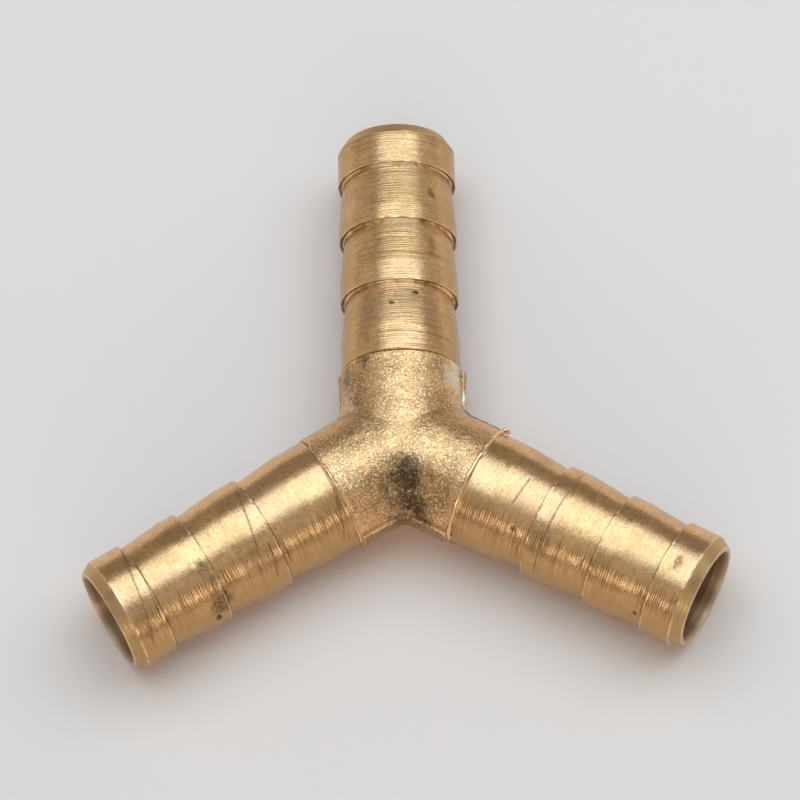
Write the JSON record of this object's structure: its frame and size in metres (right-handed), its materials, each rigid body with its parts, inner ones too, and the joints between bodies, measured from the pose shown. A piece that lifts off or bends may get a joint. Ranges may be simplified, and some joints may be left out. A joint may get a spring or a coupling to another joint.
{
  "type": "barbed hose connector",
  "caption": "Brass Y-shaped hose connector: a forged hub with barbed tails spaced evenly around it, for push-on hose.",
  "frame": {"origin": "where the axes of the bores cross, in the middle of the hub", "axes": "+Y out along the back tail, +Z normal to the plane of the Y, +X towards the right tail's side"},
  "size_m": [0.0572, 0.0495, 0.011],
  "materials": {
    "forged_brass": "hot-forged and shot-blasted brass, dull golden brown, darker in the crotches, bright on the rubbed shoulders",
    "turned_brass": "lathe-turned brass, bright, with fine rings around the tail and a few scratches and stains"
  },
  "bodies": {
    "root": {"y_hub": "forged_brass", "tail_back": "turned_brass", "tail_left": "turned_brass", "tail_right": "turned_brass"}
  },
  "joints": []
}
